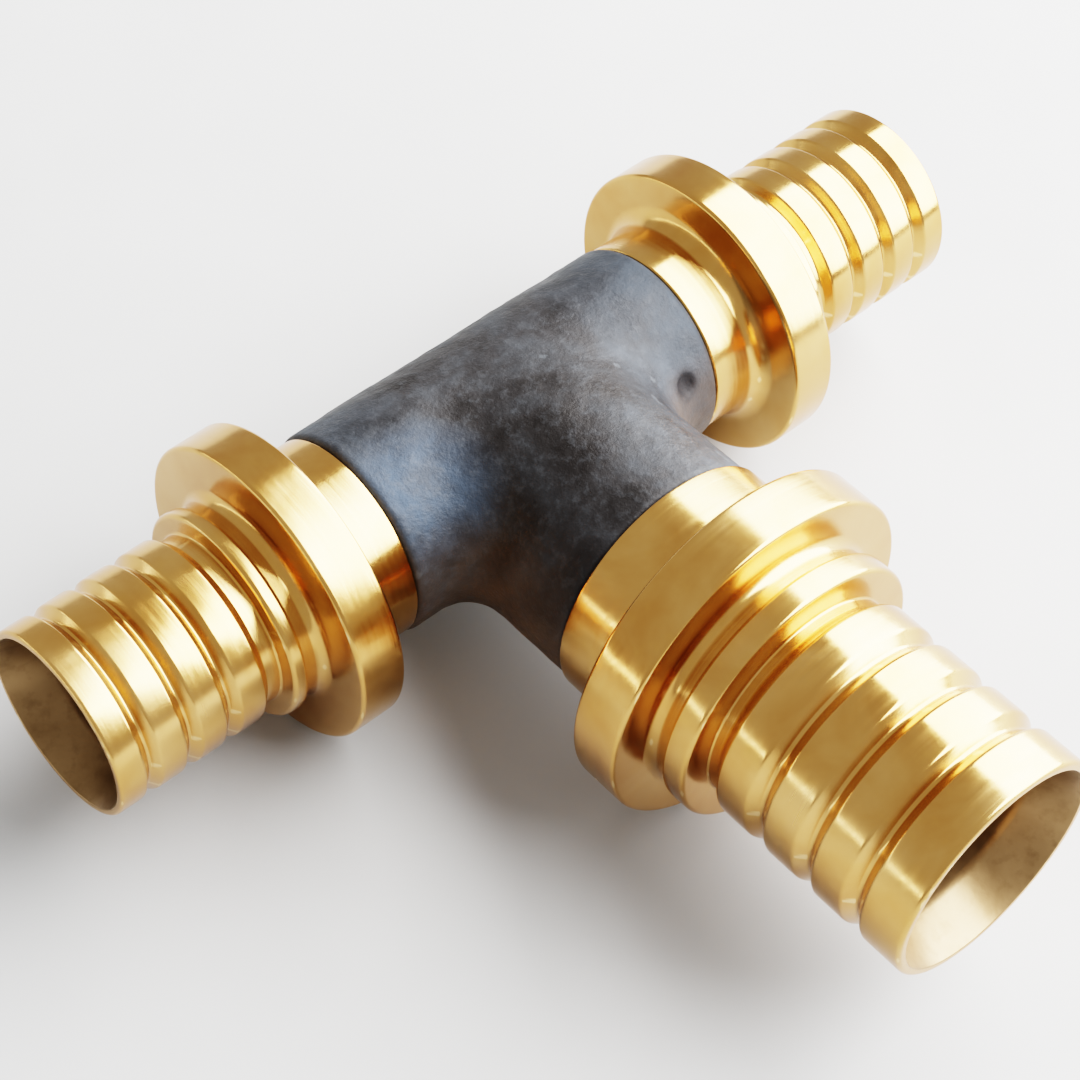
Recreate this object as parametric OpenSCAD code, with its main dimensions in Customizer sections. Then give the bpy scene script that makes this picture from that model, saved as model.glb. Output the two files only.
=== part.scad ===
// Reducing tee for plastic pipe, axial-press (sliding sleeve) type.
// Frame: origin where the run axis and the branch axis cross, +X along the run,
// -Y along the branch, +Z up, millimetres.

/* [Run spigots] */
// Overall length of the run, end to end
run_length = 114; // [112:0.5:118]
// Diameter over the ribs of each run spigot
run_rib_d = 21; // [20.6:0.1:21.6]
// Depth of the grooves between the run ribs
run_groove_depth = 0.95; // [0.6:0.05:1.1]
// Diameter of the waterway through the run
run_bore_d = 16; // [14:0.5:16]
// Diameter of the tool collar on each run spigot
run_collar_d = 33.8; // [31:0.2:36]
// Width of the tool collar on each run spigot
run_collar_w = 5.4; // [4.6:0.1:5.6]
// Diameter of the pipe-stop bead on each run spigot
run_bead_d = 23.4; // [22.8:0.1:24.4]

/* [Branch spigot] */
// Distance from the run axis to the open end of the branch
branch_length = 70.5; // [69:0.5:76]
// Diameter over the ribs of the branch spigot
branch_rib_d = 26.2; // [25.8:0.1:27]
// Depth of the grooves between the branch ribs
branch_groove_depth = 1.15; // [0.7:0.05:1.3]
// Diameter of the waterway in the branch
branch_bore_d = 20.4; // [18:0.4:20.4]
// Diameter of the tool collar on the branch spigot
branch_collar_d = 38.8; // [36:0.2:42]
// Width of the tool collar on the branch spigot
branch_collar_w = 5.8; // [5:0.1:6]
// Diameter of the pipe-stop bead on the branch spigot
branch_bead_d = 30.8; // [29.6:0.1:32]

/* [Ribs] */
// Number of ribs on each spigot
rib_count = 4; // [3:1:5]
// Share of the rib pitch taken by the flat crest
crest_share = 0.6; // [0.5:0.02:0.7]

/* [Body] */
// Outside diameter of the body along the run
body_run_d = 23.2; // [23:0.1:24]
// Outside diameter of the body along the branch
body_branch_d = 27.4; // [27.2:0.1:28.4]
// Radius of the blend in the two inner corners
crotch_r = 4.2; // [3:0.2:5]
// Rounding of the body's three open ends
body_edge_r = 0.7; // [0.4:0.1:0.9]

/* [Hidden] */

// Joint faces between the body and the three spigots
run_face = 20.8;
branch_face = 24.8;
// Sockets in the body, and the tails that seat in them
run_socket_d = 19.4;
branch_socket_d = 23.8;
socket_depth = 9.6;
tail_gap = 0.3;
// O-ring grooves in the tails
seal_depth = 1.0;
seal_w = 1.7;
seal_setback = 5.9;      // groove's near wall, from the joint face
seal_round = 0.4;
// Necks, hubs and collars
run_neck_d = 22.7;
branch_neck_d = 28.2;
run_hub_d = 22.0;
branch_hub_d = 28.6;
run_collar_s = 27.2;     // body-facing face of the collar, from the tee's centre
branch_collar_s = 32.6;
back_cove = 2.0;
run_front_cove = 2.3;
branch_front_cove = 2.1;
edge = 0.4;
// Beads and the start of the ribs, from the tee's centre
run_bead_s = 35.2;
run_bead_w = 1.7;
branch_bead_s = 40.9;
branch_bead_w = 3.0;
run_ribs_s = 38.6;
branch_ribs_s = 45.0;
run_last_rib_cut = 0.8;    // the end rib of a run spigot is this much shorter
// Countersinks in the open ends: radial width, and depth along the bore
run_mouth = 1.7;
branch_mouth = 1.9;
mouth_depth = 5.0;
// Round shoulder of the branch, and the blends in the two inner corners
shoulder_y = 10;
web_h = 9.6;
web_r0 = 14;
web_r1 = 4;
// Cone left by the drill at the bottom of the branch waterway
drill_tip = 6.1;
branch_bore_end = 8.0;
fn = 96;

// Profile of one spigot: radius first, then distance from the tee's centre
function rib_points(a, pitch, n, rv, rc, tip) = [
    for (i = [0 : n - 1], k = [0 : 3])
        let (flank = (1 - crest_share) / 2 - 0.03)
        k == 0 ? [rv, a + (i + 0.03) * pitch] :
        k == 1 ? [rc, a + (i + 0.03 + flank) * pitch] :
        k == 2 ? [rc, i < n - 1 ? a + (i + 0.97 - flank) * pitch : tip - 0.5] :
                 [i < n - 1 ? rv : rc - 0.5, i < n - 1 ? a + (i + 0.97) * pitch : tip]
];

module spigot(face, tail_d, neck_d, collar_s, collar_w, collar_d, hub_d,
              bead_s, bead_w, bead_d, ribs_s, tip_s, last_cut, rib_d, groove,
              bore_d, mouth, front_cove) {
    rb = bore_d / 2;
    rt = tail_d / 2;
    rn = neck_d / 2;
    rk = collar_d / 2;
    rh = hub_d / 2;
    rd = bead_d / 2;
    rc = rib_d / 2;
    rv = rc - groove;
    c1 = collar_s + collar_w;
    rotate_extrude($fn = fn) difference() {
        union() {
            polygon(concat(
                [[rb, face - socket_depth + tail_gap],
                 [rt - 0.4, face - socket_depth + tail_gap],
                 [rt, face - socket_depth + tail_gap + 0.4],
                 [rt, face], [rn - 0.25, face], [rn, face + 0.25],
                 [rn, collar_s],
                 [rk - edge, collar_s], [rk, collar_s + edge],
                 [rk, c1 - edge], [rk - edge, c1],
                 [rh, c1], [rh, bead_s],
                 [rd - 0.3, bead_s], [rd, bead_s + 0.3],
                 [rd, bead_s + bead_w - 0.3], [rd - 0.3, bead_s + bead_w],
                 [rv, bead_s + bead_w]],
                rib_points(ribs_s, (tip_s - ribs_s + last_cut) / rib_count, rib_count, rv, rc, tip_s),
                [[rb + mouth, tip_s], [rb, tip_s - mouth_depth]]));
            // Cove between the neck and the collar's back face
            difference() {
                translate([rn - 0.5, collar_s - back_cove])
                    square([back_cove + 0.5, back_cove + 0.5]);
                translate([rn + back_cove, collar_s - back_cove]) circle(r = back_cove, $fn = fn);
            }
            // Cove between the collar's front face and the hub
            difference() {
                translate([rh - 0.5, c1 - 0.5]) square([front_cove + 0.5, front_cove + 0.5]);
                translate([rh + front_cove, c1 + front_cove]) circle(r = front_cove, $fn = fn);
            }
        }
        // O-ring groove in the tail
        translate([rt - seal_depth, face - seal_setback - seal_w])
            square([seal_depth + 1, seal_w]);
    }
}

module seal(face, tail_d) {
    r0 = tail_d / 2 - seal_depth;
    w = seal_w - 0.2;
    translate([0, 0, face - seal_setback - seal_w + 0.1])
        rotate_extrude($fn = fn) union() {
            translate([r0, seal_round]) square([seal_depth, w - 2 * seal_round]);
            translate([r0 + seal_round, 0]) square([seal_depth - 2 * seal_round, w]);
            for (x = [seal_round, seal_depth - seal_round], y = [seal_round, w - seal_round])
                translate([r0 + x, y]) circle(r = seal_round, $fn = fn);
        }
}

// A round bar along +Z whose far end has a rounded edge
module rounded_bar(r, z0, z1, e) {
    translate([0, 0, z0]) cylinder(r = r, h = z1 - e - z0, $fn = fn);
    translate([0, 0, z1 - e - 0.01]) rotate_extrude($fn = fn) intersection() {
        square([r, e + 0.01]);
        union() {
            square([r - e, e + 0.01]);
            translate([r - e, 0.01]) circle(r = e, $fn = fn);
        }
    }
}

// The branch, with the round shoulder that carries it onto the run
module branch_bar() {
    r = body_branch_d / 2;
    e = body_edge_r;
    rotate_extrude($fn = fn) intersection() {
        square([r, branch_face]);
        union() {
            translate([0, shoulder_y]) circle(r = r, $fn = fn);
            translate([0, shoulder_y]) square([r, branch_face - e - shoulder_y]);
            translate([0, shoulder_y]) square([r - e, branch_face - shoulder_y]);
            translate([r - e, branch_face - e]) circle(r = e, $fn = fn);
        }
    }
}

// Blend in one inner corner: an upright concave wall, rounded off top and bottom
// by a cone that lies along the corner's bisector.
module crotch_web() {
    x = body_branch_d / 2;
    y = body_run_d / 2;
    intersection() {
        translate([0, 0, -web_h]) linear_extrude(height = 2 * web_h) difference() {
            translate([x - 4, -y - crotch_r]) square([crotch_r + 4, crotch_r + 4]);
            translate([x + crotch_r - 0.2, -y - crotch_r + 0.2]) circle(r = crotch_r, $fn = fn);
        }
        rotate([0, 0, -atan2(y, x)]) rotate([0, 90, 0])
            cylinder(r1 = web_r0, r2 = web_r1, h = 22, $fn = fn);
    }
}

module tee_body() color("dimgray") {
    difference() {
        union() {
            rotate([0, 90, 0]) rounded_bar(body_run_d / 2, 0, run_face, body_edge_r);
            rotate([0, -90, 0]) rounded_bar(body_run_d / 2, 0, run_face, body_edge_r);
            rotate([90, 0, 0]) branch_bar();
            crotch_web();
            mirror([1, 0, 0]) crotch_web();
        }
        rotate([0, 90, 0]) translate([0, 0, -30]) cylinder(d = run_bore_d, h = 60, $fn = fn);
        rotate([90, 0, 0]) translate([0, 0, branch_bore_end]) cylinder(d = branch_bore_d, h = 30, $fn = fn);
        rotate([90, 0, 0]) translate([0, 0, branch_bore_end - drill_tip])
            cylinder(d1 = 0.4, d2 = branch_bore_d, h = drill_tip, $fn = fn);
        for (s = [-1, 1]) rotate([0, s * 90, 0])
            translate([0, 0, run_face - socket_depth]) cylinder(d = run_socket_d, h = 20, $fn = fn);
        rotate([90, 0, 0]) translate([0, 0, branch_face - socket_depth])
            cylinder(d = branch_socket_d, h = 20, $fn = fn);
    }
}

module run_spigot() {
    spigot(run_face, run_socket_d, run_neck_d, run_collar_s, run_collar_w, run_collar_d,
           run_hub_d, run_bead_s, run_bead_w, run_bead_d, run_ribs_s, run_length / 2,
           run_last_rib_cut, run_rib_d, run_groove_depth, run_bore_d, run_mouth,
           run_front_cove);
}

module run_spigot_left() color("goldenrod") rotate([0, -90, 0]) run_spigot();
module run_spigot_right() color("goldenrod") rotate([0, 90, 0]) run_spigot();

module branch_spigot() color("goldenrod") rotate([90, 0, 0])
    spigot(branch_face, branch_socket_d, branch_neck_d, branch_collar_s, branch_collar_w,
           branch_collar_d, branch_hub_d, branch_bead_s, branch_bead_w, branch_bead_d,
           branch_ribs_s, branch_length, 0, branch_rib_d, branch_groove_depth, branch_bore_d,
           branch_mouth, branch_front_cove);

module run_seal_left() color("black") rotate([0, -90, 0]) seal(run_face, run_socket_d);
module run_seal_right() color("black") rotate([0, 90, 0]) seal(run_face, run_socket_d);
module branch_seal() color("black") rotate([90, 0, 0]) seal(branch_face, branch_socket_d);

tee_body();
run_spigot_left();
run_spigot_right();
branch_spigot();
run_seal_left();
run_seal_right();
branch_seal();
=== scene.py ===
import math
import bpy
import numpy as np
from mathutils import Matrix, Vector


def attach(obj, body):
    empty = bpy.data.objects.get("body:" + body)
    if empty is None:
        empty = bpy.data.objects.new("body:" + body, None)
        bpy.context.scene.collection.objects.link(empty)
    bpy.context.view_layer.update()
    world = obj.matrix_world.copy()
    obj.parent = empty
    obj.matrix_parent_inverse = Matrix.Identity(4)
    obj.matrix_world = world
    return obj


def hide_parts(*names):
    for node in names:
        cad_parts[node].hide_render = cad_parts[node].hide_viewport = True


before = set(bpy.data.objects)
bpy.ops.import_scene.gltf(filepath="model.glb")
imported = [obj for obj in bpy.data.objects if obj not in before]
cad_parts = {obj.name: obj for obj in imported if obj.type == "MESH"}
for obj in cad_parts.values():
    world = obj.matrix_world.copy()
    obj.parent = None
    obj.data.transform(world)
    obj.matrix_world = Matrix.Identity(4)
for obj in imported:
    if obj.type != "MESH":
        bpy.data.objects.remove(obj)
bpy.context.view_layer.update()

MM = 0.001

# ---------------------------------------------------------------- sizes (mm), as in the CAD
RUN = dict(face=20.8, tail=9.7, neck=11.35, c0=27.2, c1=32.6, rk=16.9, hub=11.0, b0=35.2, bw=1.7, rd=11.7,
           ribs=38.6, pitch=4.8, tip=57.0, rc=10.5, rv=9.55, rb=8.0, mouth=1.7, back=2.0, front=2.3, fl=0.35)
BRANCH = dict(face=24.8, tail=11.9, neck=14.1, c0=32.6, c1=38.4, rk=19.4, hub=14.3, b0=40.9, bw=3.0, rd=15.4,
              ribs=45.0, pitch=6.375, tip=70.5, rc=13.1, rv=11.95, rb=10.2, mouth=1.9, back=2.2, front=2.1, fl=0.5)
SOCKET = 9.6
CREST = 0.60
MOUTH_DEPTH = 5.0
MARK = np.array([16.5, -10.42, 5.11])      # round punch mark on the body


def rounded(points):
    """Closed outline from (r, s, corner radius); every corner is replaced by a sampled arc."""
    n = len(points)
    out = []
    for i in range(n):
        p0 = np.array(points[i - 1][:2], float)
        p = np.array(points[i][:2], float)
        p1 = np.array(points[(i + 1) % n][:2], float)
        rad = points[i][2]
        a, b = p0 - p, p1 - p
        la, lb = np.linalg.norm(a), np.linalg.norm(b)
        a, b = a / la, b / lb
        c = float(np.clip(a @ b, -1, 1))
        ang = math.acos(c)
        if rad <= 0 or ang > math.pi - 0.02 or ang < 0.02:
            out.append(tuple(p))
            continue
        t = rad / math.tan(ang / 2)
        lim = 0.49 * min(la, lb)
        if t > lim:
            t = lim
            rad = t * math.tan(ang / 2)
        bis = (a + b) / np.linalg.norm(a + b)
        ctr = p + bis * (rad / math.sin(ang / 2))
        s0, s1 = p + a * t, p + b * t
        a0 = math.atan2(*(s0 - ctr)[::-1])
        a1 = math.atan2(*(s1 - ctr)[::-1])
        d = (a1 - a0 + math.pi) % (2 * math.pi) - math.pi
        k = max(2, int(abs(d) / 0.16) + 1, int(abs(d) * rad / 0.12) + 1)
        for j in range(k + 1):
            q = a0 + d * j / k
            out.append((ctr[0] + rad * math.cos(q), ctr[1] + rad * math.sin(q)))
    return out


def spigot_outline(p):
    """Outline of one turned spigot, from the inner end of its tail to its open end and back down the bore."""
    s0 = p["face"] - SOCKET + 0.3
    g = p["face"] - 5.9
    pts = [(p["rb"], s0, 0.15), (p["tail"], s0, 0.4),
           (p["tail"], g - 1.7, 0.05), (p["tail"] - 1.0, g - 1.7, 0.1), (p["tail"] - 1.0, g, 0.1), (p["tail"], g, 0.05),
           (p["tail"], p["face"], 0.1), (p["neck"], p["face"], 0.28),
           (p["neck"], p["c0"], p["back"]), (p["rk"], p["c0"], 0.45), (p["rk"], p["c1"], 0.45),
           (p["hub"], p["c1"], p["front"]), (p["hub"], p["b0"], 0.3),
           (p["rd"], p["b0"], 0.5), (p["rd"], p["b0"] + p["bw"], 0.5), (p["rv"], p["b0"] + p["bw"], 0.3)]
    pitch = p["pitch"]
    flank = (1 - CREST) / 2 - 0.03
    for i in range(4):
        a = p["ribs"] + i * pitch
        pts += [(p["rv"], a + 0.03 * pitch, p["fl"]), (p["rc"], a + (0.03 + flank) * pitch, p["fl"] * 1.3)]
        if i < 3:
            pts += [(p["rc"], a + (0.97 - flank) * pitch, p["fl"] * 1.3), (p["rv"], a + 0.97 * pitch, p["fl"])]
    pts += [(p["rc"], p["tip"], 0.55), (p["rb"] + p["mouth"], p["tip"], 0.15), (p["rb"], p["tip"] - MOUTH_DEPTH, 3.0)]
    return rounded(pts)


def densify(pts, step):
    out = []
    n = len(pts)
    for i in range(n):
        a, b = np.array(pts[i]), np.array(pts[(i + 1) % n])
        k = max(1, int(np.linalg.norm(b - a) / step))
        for j in range(k):
            out.append(a + (b - a) * j / k)
    return np.array(out)


def lathe(name, outline, direction, segs=256):
    """A solid of revolution about `direction` through the origin. outline is closed, in mm, (radius, distance)."""
    prof = densify(outline, 0.9)
    d = np.array(direction, float)
    u = np.cross(d, [0, 0, 1.0])
    v = np.cross(d, u)
    ang = np.arange(segs) * 2 * math.pi / segs
    ring = np.cos(ang)[:, None] * u + np.sin(ang)[:, None] * v
    P = (prof[:, 1, None, None] * d + prof[:, 0, None, None] * ring[None]) * MM
    n, m = len(prof), segs
    verts = P.reshape(-1, 3)
    i = np.arange(n)[:, None]
    j = np.arange(m)[None]
    i2, j2 = (i + 1) % n, (j + 1) % m
    f = np.stack([i * m + j, i * m + j2, i2 * m + j2, i2 * m + j], -1).reshape(-1, 4)
    me = bpy.data.meshes.new(name)
    me.from_pydata(verts.tolist(), [], f.tolist())
    me.update()
    obj = bpy.data.objects.new(name, me)
    bpy.context.collection.objects.link(obj)
    out_is_out(me)
    me.shade_smooth()
    return obj


def out_is_out(me):
    """Turns the faces over if the solid is inside out."""
    n = len(me.vertices)
    co = np.empty(n * 3)
    me.vertices.foreach_get("co", co)
    co = co.reshape(-1, 3)
    me.calc_loop_triangles()
    t = np.empty(len(me.loop_triangles) * 3, int)
    me.loop_triangles.foreach_get("vertices", t)
    t = t.reshape(-1, 3)
    a, b, c = co[t[:, 0]], co[t[:, 1]], co[t[:, 2]]
    if np.einsum("ij,ij->i", a, np.cross(b, c)).sum() < 0:
        me.flip_normals()


# ---------------------------------------------------------------- the body
def value_noise(P, scale, seed):
    """Smooth random field at points P (mm), about -1 to 1, with features of `scale` mm."""
    rng = np.random.RandomState(seed)
    G = rng.uniform(-1, 1, (24, 24, 24))
    q = P / scale + 7.3 * seed
    i = np.floor(q).astype(int)
    f = q - i
    f = f * f * (3 - 2 * f)
    out = 0
    for dx in (0, 1):
        for dy in (0, 1):
            for dz in (0, 1):
                w = (f[:, 0] if dx else 1 - f[:, 0]) * (f[:, 1] if dy else 1 - f[:, 1]) * (f[:, 2] if dz else 1 - f[:, 2])
                out = out + w * G[(i[:, 0] + dx) % 24, (i[:, 1] + dy) % 24, (i[:, 2] + dz) % 24]
    return out


def body_field(P):
    """Signed distance (mm) to the body's outer skin: run and branch bars, blended into each other."""
    x, y, z = P.T
    e, rr, rb = 0.8, 11.6, 13.7
    q = np.stack([np.hypot(y, z) - (rr - e), np.abs(x) - (20.8 - e)])
    run = np.minimum(q.max(0), 0) + np.hypot(*np.maximum(q, 0)) - e
    yy = -y
    q = np.stack([np.hypot(x, z) - (rb - e), yy - (24.8 - e)])
    bar = np.minimum(q.max(0), 0) + np.hypot(*np.maximum(q, 0)) - e
    ball = np.sqrt(x * x + (yy - 10) ** 2 + z * z) - rb
    br = np.where(yy < 10, ball, bar)
    k = 4.6
    h = np.clip(0.5 + 0.5 * (br - run) / k, 0, 1)
    return br * (1 - h) + run * h - k * h * (1 - h)


def inner_distance(P):
    """Distance (mm) to the walls of the sockets and passages, which stay as the CAD has them."""
    x, y, z = P.T
    r1 = np.hypot(y, z)
    r2 = np.hypot(x, z)
    ax, yy = np.abs(x), -y
    run_r = np.where(ax > 20.8 - SOCKET, 9.7, 8.0)
    br_r = np.where(yy > 24.8 - SOCKET, 11.9, 10.2)
    inside_run = (r1 < run_r + 0.35) & (ax < 21.5)
    inside_br = (r2 < br_r + 0.35) & (yy > 1.5)
    return inside_run | inside_br


def make_body():
    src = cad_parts["tee_body"]
    me = src.data.copy()
    n = len(me.vertices)
    co = np.empty(n * 3)
    me.vertices.foreach_get("co", co)
    me.vertices.foreach_set("co", co * 1000)
    tmp = bpy.data.objects.new("tmp_body", me)
    bpy.context.collection.objects.link(tmp)
    w = tmp.modifiers.new("w", "WELD")
    w.merge_threshold = 0.001
    m = tmp.modifiers.new("v", "REMESH")
    m.mode = "VOXEL"
    m.voxel_size = 0.3
    m.adaptivity = 0
    dg = bpy.context.evaluated_depsgraph_get()
    ev = tmp.evaluated_get(dg)
    new = bpy.data.meshes.new_from_object(ev)
    bpy.data.objects.remove(tmp)
    n = len(new.vertices)
    co = np.empty(n * 3)
    new.vertices.foreach_get("co", co)
    P = co.reshape(-1, 3)
    inner = inner_distance(P)
    out = ~inner
    Q = P[out].copy()
    h = 0.05
    for _ in range(10):
        d = body_field(Q)
        g = np.stack([(body_field(Q + h * np.eye(3)[a]) - body_field(Q - h * np.eye(3)[a])) / (2 * h) for a in range(3)], 1)
        g /= np.maximum(np.linalg.norm(g, axis=1), 1e-6)[:, None]
        Q -= np.clip(d, -0.6, 0.6)[:, None] * g * 0.9
    # The rough skin: waves of the die, pits and grain. It dies away at the three joint faces.
    fade = np.clip((20.8 - np.abs(Q[:, 0])) / 1.2, 0, 1) * np.clip((24.8 + Q[:, 1]) / 1.2, 0, 1)
    skin = 0.10 * value_noise(Q, 9.0, 1) + 0.055 * value_noise(Q, 3.1, 2) + 0.035 * value_noise(Q, 1.3, 3)
    skin += 0.018 * value_noise(Q, 0.7, 4)
    # One shallow round punch mark near the right-hand end of the run
    mark = MARK
    dm = np.linalg.norm(Q - mark, axis=1)
    skin -= 0.45 * np.clip(1 - (dm / 1.3) ** 2, 0, 1) ** 0.7
    Q += g * (skin * (0.15 + 0.85 * fade))[:, None]
    P[out] = Q
    new.vertices.foreach_set("co", (P * MM).reshape(-1))
    new.update()
    obj = bpy.data.objects.new("tee_body_skin", new)
    bpy.context.collection.objects.link(obj)
    out_is_out(new)
    new.shade_smooth()
    return obj


# ---------------------------------------------------------------- materials
def nodes_of(name):
    m = bpy.data.materials.new(name)
    m.use_nodes = True
    nt = m.node_tree
    nt.nodes.clear()
    out = nt.nodes.new("ShaderNodeOutputMaterial")
    b = nt.nodes.new("ShaderNodeBsdfPrincipled")
    nt.links.new(b.outputs[0], out.inputs[0])
    return m, nt, b


def N(nt, kind, **kw):
    n = nt.nodes.new(kind)
    for k, v in kw.items():
        if k in n.inputs:
            n.inputs[k].default_value = v
        else:
            setattr(n, k, v)
    return n


def noise(nt, vec, scale, detail=3.0, rough=0.55, dist=0.0):
    n = N(nt, "ShaderNodeTexNoise")
    n.inputs["Scale"].default_value = scale
    n.inputs["Detail"].default_value = detail
    n.inputs["Roughness"].default_value = rough
    n.inputs["Distortion"].default_value = dist
    nt.links.new(vec, n.inputs["Vector"])
    return n.outputs[0]


def ramp(nt, fac, stops):
    r = N(nt, "ShaderNodeValToRGB")
    cr = r.color_ramp
    while len(cr.elements) < len(stops):
        cr.elements.new(0.5)
    for e, (p, c) in zip(cr.elements, stops):
        e.position = p
        e.color = (*c, 1) if len(c) == 3 else c
    nt.links.new(fac, r.inputs[0])
    return r.outputs[0]


def grey(nt, fac, lo, hi, a=0.0, b=1.0):
    """fac mapped from (a, b) to (lo, hi), clamped."""
    r = N(nt, "ShaderNodeMapRange")
    r.inputs["From Min"].default_value = a
    r.inputs["From Max"].default_value = b
    r.inputs["To Min"].default_value = lo
    r.inputs["To Max"].default_value = hi
    nt.links.new(fac, r.inputs["Value"])
    return r.outputs[0]


def math_node(nt, op, a, b=None):
    m = N(nt, "ShaderNodeMath", operation=op)
    for i, v in enumerate((a, b)):
        if v is None:
            continue
        if isinstance(v, (int, float)):
            m.inputs[i].default_value = v
        else:
            nt.links.new(v, m.inputs[i])
    return m.outputs[0]


def mix(nt, fac, a, b, blend="MIX"):
    m = N(nt, "ShaderNodeMix", data_type="RGBA", blend_type=blend)
    if isinstance(fac, (int, float)):
        m.inputs[0].default_value = fac
    else:
        nt.links.new(fac, m.inputs[0])
    for i, v in ((6, a), (7, b)):
        if isinstance(v, tuple):
            m.inputs[i].default_value = (*v, 1)
        else:
            nt.links.new(v, m.inputs[i])
    return m.outputs[2]


def coords(nt):
    return N(nt, "ShaderNodeTexCoord").outputs["Object"]


def stretched(nt, vec, scale):
    m = N(nt, "ShaderNodeMapping")
    m.inputs["Scale"].default_value = scale
    nt.links.new(vec, m.inputs["Vector"])
    return m.outputs[0]


def brass(name, axis):
    """Bright turned brass. axis is 0 for parts turned about X and 1 about Y."""
    m, nt, b = nodes_of(name)
    co = coords(nt)
    # Tool marks: fine rings about the axis, so the noise is long round it and short along it
    fine = [6, 6, 6]
    fine[axis] = 5200
    mid = [9, 9, 9]
    mid[axis] = 1500
    rings = noise(nt, stretched(nt, co, fine), 1.0, 2.0, 0.6)
    bands = noise(nt, stretched(nt, co, mid), 1.0, 2.0, 0.5)
    cloud = noise(nt, co, 95.0, 4.0, 0.55, 0.4)
    spots = noise(nt, co, 420.0, 3.0, 0.6)
    col = ramp(nt, cloud, [(0.30, (0.49, 0.240, 0.068)), (0.52, (0.57, 0.315, 0.105)), (0.75, (0.64, 0.385, 0.150))])
    col = mix(nt, grey(nt, spots, 0.0, 0.30, 0.56, 0.78), col, (0.62, 0.34, 0.09))
    # Grooves and inner corners get a darker colour, painted shade; convex edges get a lighter colour, a painted
    # highlight
    geo = N(nt, "ShaderNodeNewGeometry")
    pointy = geo.outputs["Pointiness"]
    col = mix(nt, grey(nt, pointy, 0.55, 0.0, 0.42, 0.495), col, (0.50, 0.26, 0.07))
    col = mix(nt, grey(nt, pointy, 0.0, 0.45, 0.515, 0.58), col, (0.95, 0.72, 0.36))
    nt.links.new(col, b.inputs["Base Color"])
    b.inputs["Metallic"].default_value = 1.0
    rough = math_node(nt, "ADD", grey(nt, cloud, 0.14, 0.25, 0.3, 0.7), grey(nt, bands, -0.03, 0.05, 0.3, 0.7))
    nt.links.new(rough, b.inputs["Roughness"])
    b.inputs["Anisotropic"].default_value = 0.7
    b.inputs["Anisotropic Rotation"].default_value = 0.25
    tan = N(nt, "ShaderNodeTangent", direction_type="RADIAL", axis="XY"[axis])
    nt.links.new(tan.outputs[0], b.inputs["Tangent"])
    h = math_node(nt, "ADD", math_node(nt, "MULTIPLY", rings, 0.35), math_node(nt, "MULTIPLY", bands, 0.65))
    h = math_node(nt, "ADD", h, math_node(nt, "MULTIPLY", spots, 0.5))
    bp = N(nt, "ShaderNodeBump")
    bp.inputs["Strength"].default_value = 0.16
    bp.inputs["Distance"].default_value = 0.00008
    nt.links.new(h, bp.inputs["Height"])
    nt.links.new(bp.outputs[0], b.inputs["Normal"])
    return m


def bore_brass():
    """The brass down the bores, drilled and not polished: duller and greyer, with coarser marks. Its much darker base
    colour is painted shade inside the bores.
    """
    m, nt, b = nodes_of("brass_bore")
    co = coords(nt)
    cloud = noise(nt, co, 120.0, 4.0, 0.6, 0.3)
    spots = noise(nt, co, 600.0, 3.0, 0.6)
    # Much darker than the outer brass: painted shade inside the bores
    col = ramp(nt, cloud, [(0.30, (0.18, 0.108, 0.048)), (0.70, (0.28, 0.180, 0.090))])
    col = mix(nt, grey(nt, spots, 0.0, 0.5, 0.52, 0.75), col, (0.13, 0.075, 0.032))
    nt.links.new(col, b.inputs["Base Color"])
    b.inputs["Metallic"].default_value = 0.85
    nt.links.new(grey(nt, cloud, 0.30, 0.42, 0.3, 0.7), b.inputs["Roughness"])
    bp = N(nt, "ShaderNodeBump")
    bp.inputs["Strength"].default_value = 0.25
    bp.inputs["Distance"].default_value = 0.0001
    nt.links.new(spots, bp.inputs["Height"])
    nt.links.new(bp.outputs[0], b.inputs["Normal"])
    return m


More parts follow.
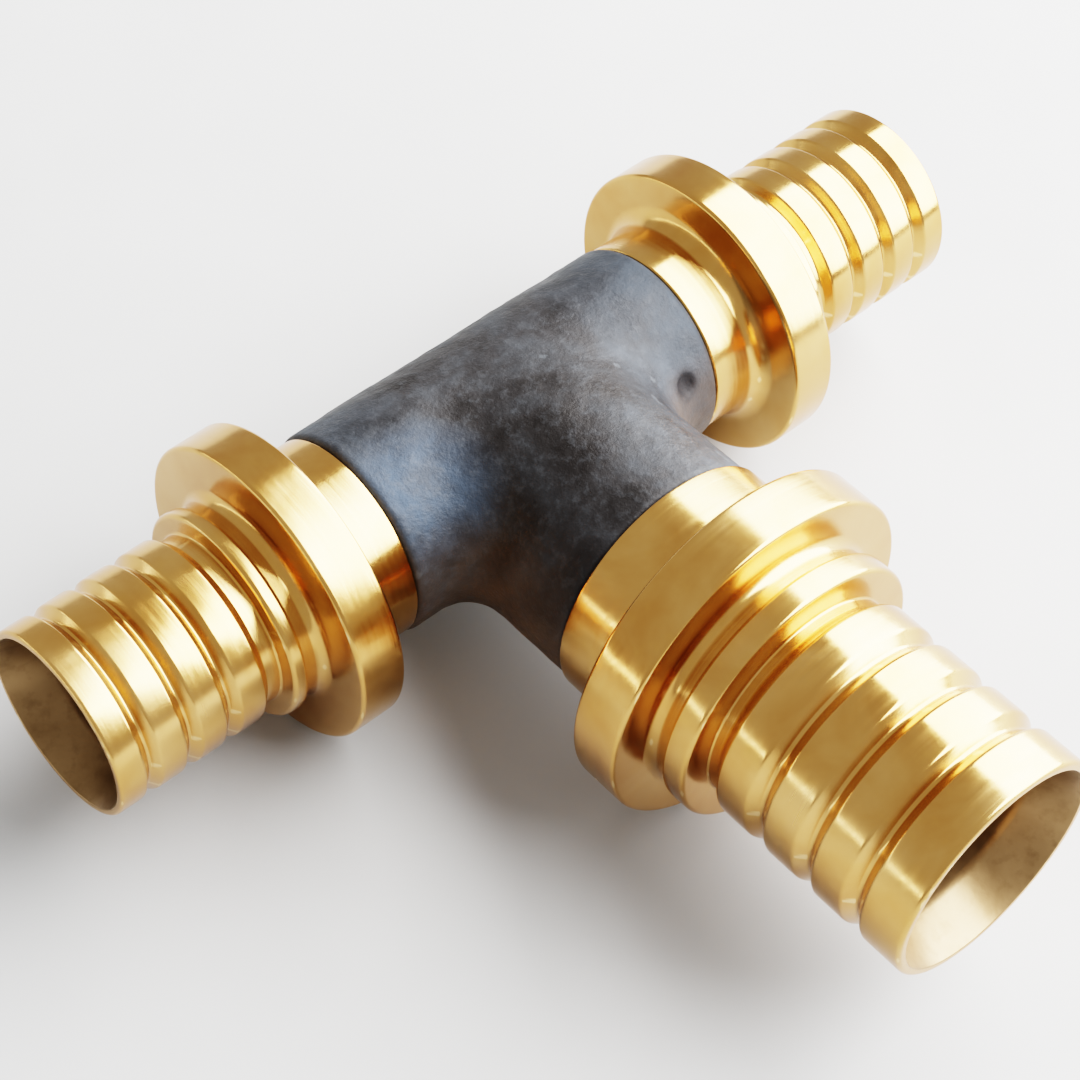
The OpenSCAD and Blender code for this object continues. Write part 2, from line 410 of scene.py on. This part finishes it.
def body_skin():
    m, nt, b = nodes_of("forged_skin")
    co = coords(nt)
    big = noise(nt, co, 62.0, 4.0, 0.6, 0.6)
    patch = noise(nt, co, 170.0, 5.0, 0.62, 0.3)
    grain = noise(nt, co, 900.0, 4.0, 0.65)
    fine = noise(nt, co, 2600.0, 3.0, 0.6)
    blotch = math_node(nt, "ADD", math_node(nt, "MULTIPLY", big, 0.55), math_node(nt, "MULTIPLY", patch, 0.45))
    col = ramp(nt, blotch, [(0.36, (0.0075, 0.0064, 0.0060)), (0.47, (0.0165, 0.0155, 0.0160)), (0.56, (0.024, 0.0250, 0.0275)),
                            (0.68, (0.046, 0.051, 0.059))])
    # Blue-grey towards the run's ends, partly scale colour left by the heat and partly a painted highlight where the
    # light falls on the ends; brown-black over the middle
    sep = N(nt, "ShaderNodeSeparateXYZ")
    nt.links.new(co, sep.inputs[0])
    x = sep.outputs[0]
    ends = grey(nt, math_node(nt, "ABSOLUTE", math_node(nt, "ADD", x, 0.001)), 0.0, 1.0, 0.009, 0.019)
    ends = math_node(nt, "MULTIPLY", ends, grey(nt, patch, 0.45, 1.0, 0.35, 0.6))
    col = mix(nt, ends, col, mix(nt, 0.6, col, (0.034, 0.043, 0.055)))
    # A blue-grey patch beside the left joint: partly clean scale, partly a painted reflection of the light
    near = N(nt, "ShaderNodeVectorMath", operation="DISTANCE")
    nt.links.new(co, near.inputs[0])
    near.inputs[1].default_value = (-0.0160, -0.0068, 0.0094)
    clean_scale_and_painted_reflection = math_node(nt, "MULTIPLY", grey(nt, near.outputs["Value"], 1.0, 0.0, 0.0035, 0.0085), grey(nt, patch, 0.35, 1.0, 0.36, 0.58))
    col = mix(nt, clean_scale_and_painted_reflection, col, (0.026, 0.038, 0.057))
    # Warm brown low on the body, in the two inner corners and below: painted warm light reflected up from the brass and
    # floor
    low_painted_warm_light = math_node(nt, "MULTIPLY", grey(nt, sep.outputs[2], 1.0, 0.0, -0.001, 0.0075), grey(nt, big, 0.35, 0.9, 0.35, 0.6))
    col = mix(nt, low_painted_warm_light, col, (0.090, 0.058, 0.036))
    # Darker over the top of the junction between run and branch: partly dark scale, partly painted shade
    dark = N(nt, "ShaderNodeVectorMath", operation="DISTANCE")
    nt.links.new(co, dark.inputs[0])
    dark.inputs[1].default_value = (-0.003, -0.0105, 0.009)
    core = grey(nt, dark.outputs["Value"], 1.0, 0.0, 0.003, 0.013)
    core = math_node(nt, "MULTIPLY", core, grey(nt, big, 0.5, 0.95, 0.3, 0.6))
    col = mix(nt, core, col, mix(nt, 0.75, col, (0.0062, 0.0050, 0.0044)))
    col = mix(nt, grey(nt, grain, 0.0, 0.35, 0.5, 0.75), col, (0.050, 0.054, 0.060))
    punch = N(nt, "ShaderNodeVectorMath", operation="DISTANCE")
    nt.links.new(co, punch.inputs[0])
    punch.inputs[1].default_value = tuple(MARK * MM)
    col = mix(nt, grey(nt, punch.outputs["Value"], 0.85, 0.0, 0.0009, 0.0022), col, (0.009, 0.008, 0.009))
    geo = N(nt, "ShaderNodeNewGeometry")
    col = mix(nt, grey(nt, geo.outputs["Pointiness"], 0.0, 0.5, 0.52, 0.60), col, (0.055, 0.060, 0.066))
    nt.links.new(col, b.inputs["Base Color"])
    b.inputs["Metallic"].default_value = 0.15
    nt.links.new(grey(nt, patch, 0.40, 0.62, 0.3, 0.7), b.inputs["Roughness"])
    b.inputs["Specular IOR Level"].default_value = 0.10
    h = math_node(nt, "ADD", math_node(nt, "MULTIPLY", grain, 0.6), math_node(nt, "MULTIPLY", fine, 0.4))
    bp = N(nt, "ShaderNodeBump")
    bp.inputs["Strength"].default_value = 0.55
    bp.inputs["Distance"].default_value = 0.00025
    nt.links.new(h, bp.inputs["Height"])
    nt.links.new(bp.outputs[0], b.inputs["Normal"])
    return m


def rubber():
    m, nt, b = nodes_of("seal_rubber")
    co = coords(nt)
    n = noise(nt, co, 700.0, 3.0, 0.5)
    nt.links.new(ramp(nt, n, [(0.3, (0.012, 0.012, 0.013)), (0.7, (0.035, 0.035, 0.037))]), b.inputs["Base Color"])
    nt.links.new(grey(nt, n, 0.45, 0.62, 0.3, 0.7), b.inputs["Roughness"])
    bp = N(nt, "ShaderNodeBump")
    bp.inputs["Strength"].default_value = 0.2
    bp.inputs["Distance"].default_value = 0.00005
    nt.links.new(n, bp.inputs["Height"])
    nt.links.new(bp.outputs[0], b.inputs["Normal"])
    return m


# ---------------------------------------------------------------- the pieces
brass_x, brass_y, skin, seal = brass("brass_run", 0), brass("brass_branch", 1), body_skin(), rubber()
bore = bore_brass()
run_line, branch_line = spigot_outline(RUN), spigot_outline(BRANCH)
for name, node, line, direction, mat in (
        ("run_spigot_left_turned", "run_spigot_left", run_line, (-1, 0, 0), brass_x),
        ("run_spigot_right_turned", "run_spigot_right", run_line, (1, 0, 0), brass_x),
        ("branch_spigot_turned", "branch_spigot", branch_line, (0, -1, 0), brass_y)):
    o = lathe(name, line, direction)
    o.data.materials.append(mat)
    o.data.materials.append(bore)
    axis = Vector(direction)
    for f in o.data.polygons:      # faces that look at the axis are the bore and its tapered mouth
        out = f.center - axis * f.center.dot(axis)
        if out.length > 0 and f.normal.dot(out) < -0.35 * out.length:
            f.material_index = 1
    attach(o, "root")
    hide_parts(node)
o = make_body()
o.data.materials.clear()
o.data.materials.append(skin)
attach(o, "root")
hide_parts("tee_body")
for node in ("run_seal_left", "run_seal_right", "branch_seal"):
    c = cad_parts[node]
    c.data.materials.clear()
    c.data.materials.append(seal)

# ---------------------------------------------------------------- floor: it touches the three collars
tilt = math.atan2(0.0, 1.0)
lo, hi = 0.0, 0.3
for _ in range(60):          # slope at which the branch collar's inner rim touches the plane that touches the run collars
    t = (lo + hi) / 2
    gap = 16.9 / math.cos(t) + 32.6 * math.tan(t) - 19.4
    lo, hi = (t, hi) if gap < 0 else (lo, t)
tilt = (lo + hi) / 2
bpy.ops.mesh.primitive_plane_add(size=6.0, location=(0, 0, -16.9 * MM / math.cos(tilt)), rotation=(tilt, 0, 0))
floor = bpy.context.object
floor.name = "floor"
fm, nt, b = nodes_of("floor_pale")
n = noise(nt, coords(nt), 30.0, 3.0, 0.5)
nt.links.new(ramp(nt, n, [(0.3, (0.285, 0.285, 0.284)), (0.7, (0.310, 0.310, 0.309))]), b.inputs["Base Color"])
b.inputs["Roughness"].default_value = 0.75
floor.data.materials.append(fm)

# ---------------------------------------------------------------- light
scene = bpy.context.scene
world = bpy.data.worlds.new("studio")
scene.world = world
world.use_nodes = True
bg = world.node_tree.nodes["Background"]
bg.inputs[0].default_value = (1.0, 0.985, 0.96, 1)
bg.inputs[1].default_value = 0.50


def area(name, centre, target, w, h, power, color=(1, 1, 1)):
    l = bpy.data.lights.new(name, "AREA")
    l.shape = "RECTANGLE"
    l.size, l.size_y = w, h
    l.energy = power
    l.color = color
    o = bpy.data.objects.new(name, l)
    bpy.context.collection.objects.link(o)
    c, t = Vector(centre), Vector(target)
    o.location = c
    o.rotation_euler = (t - c).to_track_quat("-Z", "Y").to_euler()
    o.visible_camera = False
    return o


def softbox(name, az, el, dist, w, h, radiance):
    """A panel in the direction (az from +X, el above the run's plane), turned to the part."""
    a, e = math.radians(az), math.radians(el)
    c = Vector((math.cos(e) * math.cos(a), math.cos(e) * math.sin(a), math.sin(e))) * dist
    area(name, c, (0, -0.02, 0), w, h, radiance * math.pi * w * h)


softbox("key", -22, 36, 0.55, 0.95, 0.75, 17.0)
softbox("edge_strip", 150, 3.5, 0.60, 0.90, 0.035, 6.0)

# ---------------------------------------------------------------- camera
cam = bpy.data.cameras.new("cam")
co = bpy.data.objects.new("cam", cam)
bpy.context.collection.objects.link(co)
fwd = Vector((0.43861948, 0.44722875, -0.77948662)).normalized()
up = Vector((0.50402235, 0.59569069, 0.62539113)).normalized()
right = fwd.cross(up).normalized()
up = right.cross(fwd)
M = Matrix((right, up, -fwd)).transposed().to_4x4()
M.translation = Vector((-171.288, -183.580, 290.235)) * 0.77 * MM
co.matrix_world = M
cam.sensor_width = 36.0
cam.lens = 2807.9 / 1080 * 36.0
cam.clip_start = 0.01
cam.clip_end = 20
scene.camera = co
scene.view_settings.view_transform = "Filmic"
scene.view_settings.look = "High Contrast"
scene.view_settings.exposure = 0.3
